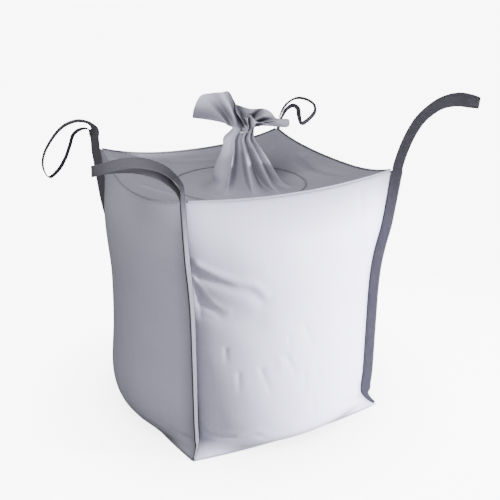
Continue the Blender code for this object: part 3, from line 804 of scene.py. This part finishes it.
def make_spout():
    """The whole filling spout as one cloth: up from its seam in deep pleats, through the tied neck, and
    open above it as a flared ruffle."""
    net = [cone_point(level) for level in CONE]
    neck = []
    for degrees, stands in CONE_RIBS:
        angle, pleat = math.radians(degrees), 1 + NECK_PLEAT * stands
        neck.append((NECK_RADII[0] * pleat * math.cos(angle) + NECK_OFFSET,
                     NECK_RADII[1] * pleat * math.sin(angle), NECK_HEIGHT))
    neck, rim = np.array(neck), np.array(RIM)
    net.append(neck)
    bend = neck + (0, 0, 0.022) + (rim - neck) * (0.10, 0.10, 0.12)
    for t in (0.2, 0.4, 0.6, 0.8, 1.0):
        row = neck * (1 - t) ** 2 + bend * (2 * t * (1 - t)) + rim * t**2
        row[:, 1] += np.array(RUFFLE_FOLDS) * FOLD_DEPTH * math.sin(math.pi * t * 0.92) ** 0.7
        flute = NECK_FLUTE * (1 - t) * np.array(CONE_RIBS)[:, 1]
        sideways = unit(row[:, :2] - neck[:, :2].mean(0))
        row[:, :2] += sideways * flute[:, None]
        net.append(row)
    net = np.array(net)
    levels = np.linspace(0, len(net) - 1, (len(net) - 1) * SPOUT_ROWS + 1)
    columns = np.arange(RIBS * SPOUT_COLUMNS) / SPOUT_COLUMNS
    points = through(net, levels)
    points = np.swapaxes(through(np.swapaxes(points, 0, 1), columns, ring=True), 0, 1)
    points = turned(points, SPOUT_TURN)
    around = np.broadcast_to(columns / RIBS * 2.1, points.shape[:2])
    along = np.linalg.norm(np.diff(points, axis=0, prepend=points[:1]), axis=2).mean(1).cumsum()
    place = np.stack([around, np.broadcast_to(along[:, None], around.shape), 0 * around], -1)
    piece = add_grid("spout_cloth", points, fabric, place, SPOUT_CLOTH, -1, ring=True)
    finish_piece(piece, None, "bag_fabric", "filling_spout", "spout_ruffle")
    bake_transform(piece)


def make_piping():
    """The piping of the spout's round seam."""
    steps = 220
    angle = np.linspace(0, 2 * math.pi, steps, endpoint=False)
    rows = []
    for turn in np.linspace(0, 2 * math.pi, 10, endpoint=False):
        radius = SPOUT_RADIUS + PIPING_RADIUS * math.cos(turn)
        rows.append(np.stack([radius * np.cos(angle), radius * np.sin(angle),
                              PIPING_HEIGHT + PIPING_RADIUS * math.sin(turn) + 0 * angle], -1))
    points = np.stack(rows)
    place = np.stack([np.broadcast_to(angle * SPOUT_RADIUS, points.shape[:2]),
                      np.broadcast_to(np.arange(10)[:, None] * 0.002, points.shape[:2]),
                      np.zeros(points.shape[:2])], -1)
    faces = grid_faces(10, steps, ring=True, tube=True)
    piece = add_mesh("spout_seam_piping", points, faces, shaded_hem_fabric, place)
    finish_piece(piece, "bag", "bag_fabric", "spout_seam")


def make_tie():
    """The thin cord that ties the neck."""
    rows = []
    count = 120 * CORD_WRAPS
    turn = np.linspace(0, 2 * math.pi * CORD_WRAPS, count)
    uneven = 1 + CORD_UNEVENNESS * np.cos(12 * turn)
    for around in np.linspace(0, 2 * math.pi, 8, endpoint=False):
        wide, deep = (radius * uneven + CORD_RADIUS * math.cos(around) for radius in NECK_RADII)
        rows.append(np.stack([
            wide * np.cos(turn) + CORD_OFFSET,
            deep * np.sin(turn),
            CORD_HEIGHT + CORD_RISE * turn / (2 * math.pi) + CORD_RADIUS * math.sin(around)], -1))
    points = turned(np.stack(rows), SPOUT_TURN)
    faces = grid_faces(8, count, tube=True)
    piece = add_mesh("spout_tie_cord", points, faces, pale_thread)
    finish_piece(piece, "bag", "bag_fabric", "spout_tie")


# ---------------------------------------------------------------- corners, straps and stitching


def seam_edge(height, distance):
    """(outward, height) of points that far from the corner seam, square to it."""
    step = 0.004
    low, high = np.maximum(height - step, 0), height + step
    rise = unit(np.stack([math.sqrt(2) * (smooth(SEAM, high) - smooth(SEAM, low)), high - low], -1))
    place = np.stack([math.sqrt(2) * smooth(SEAM, height), height], -1)
    return place + np.stack([rise[..., 1], -rise[..., 0]], -1) * np.asarray(distance)[..., None]


def belt_middle():
    """How far out the middle line of the straps stands at the top of a corner."""
    return float(seam_edge(CORNER_HEIGHT, BELT_CLEARANCE + WEBBING_WIDTH / 2)[0])


def tail_width(height, full):
    """The straps and the seam narrow to a tail along the foot of the corner."""
    return full * (TAIL_START + (1 - TAIL_START) * np.minimum(height / TAIL_HEIGHT, 1) ** TAIL_POWER)


def corner_place(corner, outward, sideways, height):
    """Points in a corner's own frame, with outward counted from the bag's middle axis."""
    x, y = np.array(CORNERS[corner]) / math.sqrt(2)
    return np.stack([outward * x + sideways * y, outward * y - sideways * x, height], -1)


def make_corner_seams():
    """The folded seam allowance between the two legs of each strap."""
    height = SIDE_BOTTOM + 0.001 + (CORNER_HEIGHT - SIDE_BOTTOM) * np.linspace(0, 1, 120) ** 1.2
    for corner in CORNERS:
        rows = []
        for f in np.linspace(0, 1, 9):
            reach = tail_width(height, SEAM_ALLOWANCE) + ALLOWANCE_TUCK
            distance = BELT_CLEARANCE - ALLOWANCE_TUCK + reach * f
            edge = seam_edge(height, distance)
            rows.append(corner_place(corner, edge[:, 0], 0, edge[:, 1]))
        points = np.stack(rows, 1)
        name = f"corner_allowance_{corner}"
        piece = add_grid(name, points, shaded_hem_fabric, cloth_place(points), ALLOWANCE_CLOTH, 0)
        finish_piece(piece, "bag", "bag_fabric", f"corner_seam_{corner}")


def strap_line(corner):
    """A strap from one foot of its corner to the other: (middle, direction of its width, half width)."""
    heights = np.array([0.006, 0.02, 0.04, 0.065, 0.09, 0.13, 0.19, 0.28, 0.4, 0.53, 0.66, 0.79, 0.9, 1.0,
                        1.08, 1.16, 1.23, 1.265])
    first = -1 if LOOPS[corner][0][1] < 0 else 1
    legs = {}
    for sign in (first, -first):
        width = tail_width(heights, WEBBING_WIDTH)
        inner = seam_edge(heights, BELT_CLEARANCE)
        outer = seam_edge(heights, BELT_CLEARANCE + width)
        middle, direction = (inner + outer) / 2, unit(outer - inner)
        places = corner_place(corner, middle[:, 0], sign * BELT_OFFSET, middle[:, 1])
        widths = corner_place(corner, direction[:, 0], 0, direction[:, 1])
        legs[sign] = np.concatenate([places, widths, (width / 2)[:, None]], 1)
    loop = []
    for outward, sideways, height, direction in LOOPS[corner]:
        at = corner_place(corner, belt_middle() + outward, sideways, height)
        width = corner_place(corner, *direction)
        loop.append(np.concatenate([at, width, [WEBBING_WIDTH / 2]]))
    return np.concatenate([legs[first], np.array(loop), legs[-first][::-1]])


def read_strap(control, spacing):
    """The strap read every so many metres: middle, width and face directions, half width, length along."""
    raw = through(control, np.linspace(0, len(control) - 1, len(control) * 40))
    length = np.concatenate([[0], np.linalg.norm(np.diff(raw[:, :3], axis=0), axis=1).cumsum()])
    along = np.linspace(0, length[-1], int(length[-1] / spacing) + 1)
    even = np.stack([np.interp(along, length, column) for column in raw.T], 1)
    middle, half = even[:, :3], even[:, 6]
    tangent = unit(np.gradient(middle, axis=0))
    width = unit(even[:, 3:6] - tangent * (even[:, 3:6] * tangent).sum(1, keepdims=True))
    return middle, width, np.cross(tangent, width), half, along


def make_straps():
    """Each corner's strap: one length of webbing, with its edges rounded and its middle a little lower."""
    for corner in CORNERS:
        control = strap_line(corner)
        middle, width, face, half, along = read_strap(control, STRAP_SPACING)
        lateral = np.linspace(-1, 1, STRAP_POINTS)
        dip = MIDDLE_DIP * np.exp(-((lateral / MIDDLE_WIDTH) ** 2))
        thick = WEBBING / 2 * (1 - EDGE_ROUNDING * np.abs(lateral) ** 6 - dip)
        lateral = np.concatenate([lateral, lateral[::-1]])
        thick = np.concatenate([thick, -thick[::-1]])
        sideways = half[:, None] * lateral
        points = (
            middle[:, None]
            + width[:, None] * sideways[..., None]
            + face[:, None] * thick[None, :, None]
        )
        place = np.stack([sideways, along[:, None] + 0 * lateral, 0 * sideways], -1)
        rows, columns = points.shape[:2]
        faces = grid_faces(rows, columns, ring=True)
        faces += [tuple(reversed(range(columns))), tuple(range((rows - 1) * columns, rows * columns))]
        piece = add_mesh(f"strap_{corner}", points, faces, webbing, place)
        names = corner.split("_")
        finish_piece(piece, None, "webbing", f"lifting_loop_{corner}",
                     *(f"belt_{corner}_{side}" for side in names))
        start, end = (bend_place(corner, point) for point in LOOP_BEND[corner])
        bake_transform(piece)


def bend_place(corner, point):
    """A point given from the middle line of a strap's legs, in the bag's frame."""
    outward, sideways, height = point
    return tuple(corner_place(corner, belt_middle() + outward, sideways, height).tolist())


def make_strap_stitches():
    """Two rows of thread down both legs of each strap, through the seam between them."""
    for corner in CORNERS:
        starts = np.arange(*STITCHES)
        pieces = []
        for sign in (-1, 1):
            for row in STITCH_ROWS:
                for start in starts:
                    ends = np.array([start, start + STITCH_LENGTH])
                    edge = seam_edge(ends, BELT_CLEARANCE + row)
                    side = sign * (BELT_OFFSET + WEBBING / 2 - STITCH_SINK)
                    pieces.append(corner_place(corner, edge[:, 0], side, edge[:, 1]))
        add_threads(f"strap_stitches_{corner}", np.array(pieces), thread)


def make_hem_stitches():
    """A row of thread just under each top edge, and one round the spout's seam."""
    for side in SIDES:
        across = np.arange(*HEM_STITCHES)
        ends = np.stack([across, across + HEM_STITCH_LENGTH], 1)
        points = side_surface(side, ends, top_height(side, ends) - HEM_STITCH_DROP, -0.0004)
        add_threads(f"hem_stitches_{side}", points, pale_thread)
    angle = np.arange(0, 2 * math.pi, SPOUT_STITCH_PITCH)
    ends = np.stack([angle, angle + SPOUT_STITCH_LENGTH], 1)
    radius = SPOUT_RADIUS + SPOUT_STITCH_GAP
    height = 0 * ends + SPOUT_HEIGHT + SPOUT_STITCH_RISE
    points = np.stack([radius * np.cos(ends), radius * np.sin(ends), height], -1)
    add_threads("spout_seam_stitches", points, pale_thread)


def add_threads(name, ends, look):
    """Short lengths of thread: each one a thin six-sided capsule that dips in at both its ends."""
    start, end = ends[:, 0], ends[:, 1]
    along = unit(end - start)
    outward = unit(start * (1, 1, 0))
    side = unit(np.cross(along, outward))
    up = np.cross(side, along)
    sections = ((0, 0.3), (0.25, 1), (0.75, 1), (1, 0.3))
    corners = [(math.cos(turn), math.sin(turn)) for turn in np.linspace(0, 2 * math.pi, 6, endpoint=False)]
    points = np.stack([
        start + (end - start) * f + (side * c + up * s) * (THREAD / 2 * size)
        for f, size in sections
        for c, s in corners
    ], 1)
    count = len(sections) * 6
    one = [tuple(face) for face in grid_faces(len(sections), 6, ring=True)]
    one += [tuple(reversed(range(6))), tuple(range(count - 6, count))]
    faces = [tuple(k * count + i for i in face) for k in range(len(points)) for face in one]
    piece = add_mesh(name, points, faces, look)
    finish_piece(piece, "bag", "webbing")


# ---------------------------------------------------------------- stage


def make_stage():
    """A plain pale floor and backdrop, the three lights and the camera."""
    bpy.ops.mesh.primitive_plane_add(size=FLOOR_SIZE, location=(0, 0, -FLOOR_DROP))
    floor = bpy.context.object
    floor.name = "floor"
    floor.data.materials.append(floor_look("pale_floor", (0.40, 0.40, 0.41)))
    world = bpy.data.worlds.new("studio")
    world.use_nodes = True
    sky = world.node_tree.nodes["Background"]
    sky.inputs["Color"].default_value = GLOW_COLOUR
    strength = world.node_tree.nodes.new("ShaderNodeMath")
    strength.inputs[1].default_value = SKY_LIGHT
    world.node_tree.links.new(seen_only(world.node_tree, SKY_GLOW), strength.inputs[0])
    world.node_tree.links.new(strength.outputs[0], sky.inputs["Strength"])
    bpy.context.scene.world = world
    toward = Vector(KEY_TOP) - Vector(KEY_PLACE)
    toward.z -= toward.length * math.tan(KEY_BEAM / 2)
    add_light("key_light", "SPOT", KEY_PLACE, toward, energy=KEY_POWER, color=KEY_COLOUR,
              spot_size=KEY_BEAM, spot_blend=0.04, shadow_soft_size=KEY_SIZE / 2)
    toward = Vector(ACCENT_AIM) - Vector(ACCENT_PLACE)
    add_light("accent_light", "SPOT", ACCENT_PLACE, toward, energy=ACCENT_POWER,
              spot_size=ACCENT_BEAM, spot_blend=0.3, shadow_soft_size=ACCENT_SIZE / 2)
    toward = Vector((0, 0, 1)) - Vector(FILL_PLACE)
    add_light("fill_light", "AREA", FILL_PLACE, toward, energy=FILL_POWER, shape="DISK", size=FILL_SIZE)
    data = bpy.data.cameras.new("camera")
    data.lens = LENS
    data.sensor_width = SENSOR
    data.clip_end = 100
    camera = bpy.data.objects.new("camera", data)
    camera.location = CAMERA_PLACE
    camera.rotation_euler = Euler((math.pi / 2 - CAMERA_PITCH, 0, -CAMERA_YAW))
    bpy.context.scene.collection.objects.link(camera)
    bpy.context.scene.camera = camera


def add_light(name, kind, place, toward, **settings):
    """A light that shines in a direction, with its settings."""
    data = bpy.data.lights.new(name, kind)
    for key, value in settings.items():
        setattr(data, key, value)
    light = bpy.data.objects.new(name, data)
    light.location = place
    light.rotation_euler = toward.to_track_quat("-Z", "Y").to_euler()
    bpy.context.scene.collection.objects.link(light)


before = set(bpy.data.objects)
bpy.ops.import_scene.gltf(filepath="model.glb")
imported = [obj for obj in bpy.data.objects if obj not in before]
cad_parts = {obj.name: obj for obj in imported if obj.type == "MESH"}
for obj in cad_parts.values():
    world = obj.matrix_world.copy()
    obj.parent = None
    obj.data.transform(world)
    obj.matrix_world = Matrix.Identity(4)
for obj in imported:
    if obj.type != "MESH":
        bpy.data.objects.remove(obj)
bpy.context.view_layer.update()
fabric = woven_fabric("woven_fabric", (0.60, 0.585, 0.72))
# A darker copy of the bag's woven fabric for the hems, the spout's piping and the corner allowances: painted
# shade for the thin dark lines along them
shaded_hem_fabric = woven_fabric("folded_fabric_painted_shade", (0.45, 0.44, 0.52))
webbing = webbing_look("dark_webbing", (0.100, 0.096, 0.114))
thread = thread_look("grey_thread", (0.10, 0.10, 0.11))
pale_thread = thread_look("pale_thread", (0.66, 0.66, 0.70))
granules = granule_look("plastic_granules", (0.72, 0.69, 0.62))
make_stage()
make_fill()
make_base()
make_sides()
make_top()
make_hems()
make_spout()
make_piping()
make_tie()
make_corner_seams()
make_straps()
make_strap_stitches()
make_hem_stitches()
